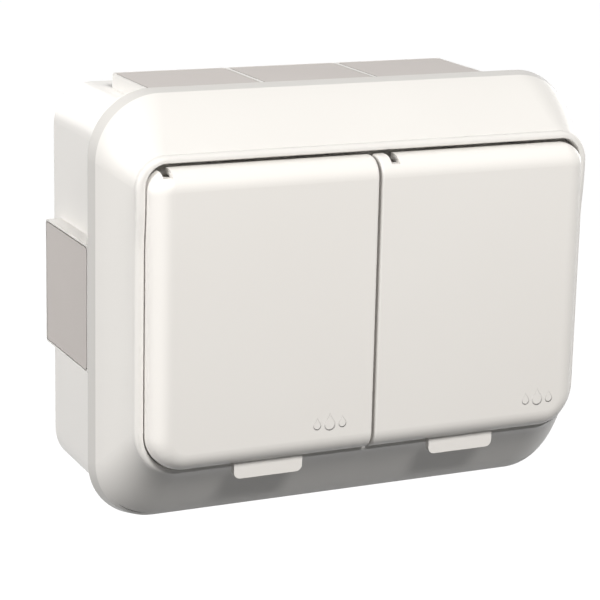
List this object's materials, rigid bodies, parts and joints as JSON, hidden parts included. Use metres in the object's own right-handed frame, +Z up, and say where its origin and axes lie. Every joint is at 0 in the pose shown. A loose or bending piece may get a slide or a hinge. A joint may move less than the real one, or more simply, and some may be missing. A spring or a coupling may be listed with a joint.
{
  "type": "weatherproof double socket",
  "caption": "Surface-mounted weatherproof socket outlet: side-by-side earthed sockets under self-closing hinged lids, in a hooded frame on a back box with cable entries.",
  "frame": {"origin": "on the wall plane, behind the middle of the front frame", "axes": "+Z up, +X to the right seen from the front, -Y out of the wall towards the user"},
  "size_m": [0.159, 0.075, 0.1296],
  "materials": {
    "white_shell": "satin moulded thermoplastic",
    "white_lid": "satin moulded thermoplastic",
    "grey_insert": "matt grey thermoplastic",
    "seal_rubber": "soft matt seal rubber",
    "brass": "bright stamped brass",
    "copper_wire": "bare copper wire",
    "plated_spring": "nickel-plated spring strip",
    "zinc_steel": "zinc-plated steel",
    "spring_steel": "stainless steel",
    "base_plastic": "matt thermoset"
  },
  "bodies": {
    "housing": {"back_box": "white_shell", "cable_insert_left": "grey_insert", "cable_insert_right": "grey_insert", "cable_insert_top_centre": "grey_insert", "cable_insert_top_left": "grey_insert", "cable_insert_top_right": "grey_insert", "contact_live_left": "brass", "contact_live_right": "brass", "contact_neutral_left": "brass", "contact_neutral_right": "brass", "earth_clip_left_lower": "plated_spring", "earth_clip_left_upper": "plated_spring", "earth_clip_right_lower": "plated_spring", "earth_clip_right_upper": "plated_spring", "earth_link": "brass", "face_screws": "zinc_steel", "frame_gasket": "seal_rubber", "frame_screws": "zinc_steel", "front_frame": "white_shell", "hinge_pin_left": "spring_steel", "hinge_pin_right": "spring_steel", "lid_springs": "spring_steel", "link_wire_live": "copper_wire", "link_wire_neutral": "copper_wire", "socket_base_left": "base_plastic", "socket_base_right": "base_plastic", "socket_face_left": "white_shell", "socket_face_right": "white_shell", "strap_screws": "zinc_steel", "support_strap_left": "zinc_steel", "support_strap_right": "zinc_steel", "terminal_screws": "zinc_steel"},
    "lid_left_body": {"lid_left": "white_lid", "lid_seal_left": "seal_rubber"},
    "lid_right_body": {"lid_right": "white_lid", "lid_seal_right": "seal_rubber"}
  },
  "joints": [
    {"name": "lid_left_hinge", "type": "hinge", "parent": "housing", "child": "lid_left_body", "pos_m": [-0.03535, -0.0703, 0.0405], "axis": [-1, 0, 0], "range_deg": [0, 105], "stiffness_Nm_per_rad": 0.01, "springref_deg": -34.38},
    {"name": "lid_right_hinge", "type": "hinge", "parent": "housing", "child": "lid_right_body", "pos_m": [0.03535, -0.0703, 0.0405], "axis": [-1, 0, 0], "range_deg": [0, 105], "stiffness_Nm_per_rad": 0.01, "springref_deg": -34.38}
  ]
}
